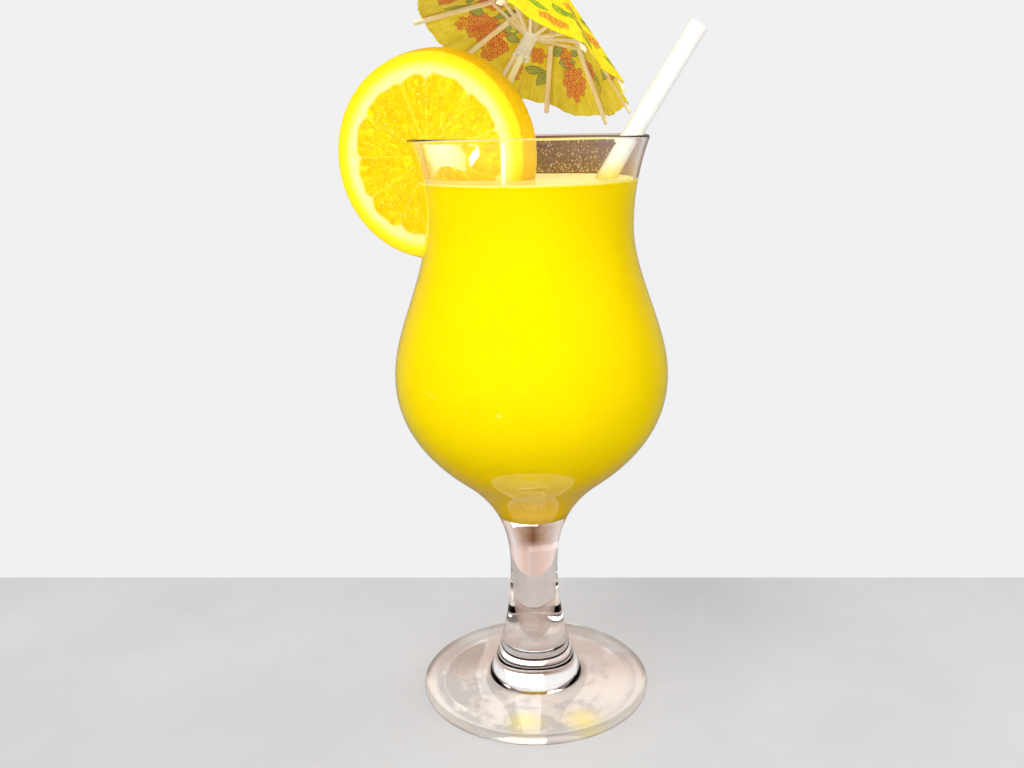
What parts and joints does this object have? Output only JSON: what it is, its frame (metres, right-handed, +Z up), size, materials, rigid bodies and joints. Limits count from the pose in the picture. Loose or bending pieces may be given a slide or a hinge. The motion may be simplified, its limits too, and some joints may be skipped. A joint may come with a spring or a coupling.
{
  "type": "glass of orange juice",
  "caption": "Stemmed cocktail glass full of orange juice, with an orange slice on the rim, a white straw and a paper cocktail umbrella.",
  "frame": {"origin": "centre of the foot's underside, on the surface that the glass stands on", "axes": "+Z up along the glass, +X towards the straw's side, -Y towards the front"},
  "size_m": [0.1118, 0.0962, 0.2299],
  "materials": {
    "glass": "clear, polished",
    "juice": "opaque yellow orange juice, wet and smooth",
    "orange": "wet cut flesh in segments, cream pith, fine-pored peel",
    "straw": "plain white, smooth",
    "stick_wood": "bare light wood",
    "rib_wood": "bare split wood",
    "printed_paper": "thin pleated yellow paper with a plain blossom and leaf print",
    "slider_card": "off-white, matt"
  },
  "bodies": {
    "root": {"glass": "glass", "juice": "juice", "orange_slice": "orange", "straw": "straw", "umbrella_stick": "stick_wood", "umbrella_canopy": "printed_paper", "umbrella_slider": "slider_card", "umbrella_hub": "slider_card", "umbrella_cap": "slider_card", "umbrella_rib_1": "rib_wood", "umbrella_rib_2": "rib_wood", "umbrella_rib_3": "rib_wood", "umbrella_rib_4": "rib_wood", "umbrella_rib_5": "rib_wood", "umbrella_rib_6": "rib_wood", "umbrella_rib_7": "rib_wood", "umbrella_rib_8": "rib_wood", "umbrella_rib_9": "rib_wood", "umbrella_rib_10": "rib_wood", "umbrella_rib_11": "rib_wood", "umbrella_strut_1": "rib_wood", "umbrella_strut_2": "rib_wood", "umbrella_strut_3": "rib_wood", "umbrella_strut_4": "rib_wood", "umbrella_strut_5": "rib_wood", "umbrella_strut_6": "rib_wood", "umbrella_strut_7": "rib_wood", "umbrella_strut_8": "rib_wood", "umbrella_strut_9": "rib_wood", "umbrella_strut_10": "rib_wood", "umbrella_strut_11": "rib_wood"}
  },
  "joints": []
}
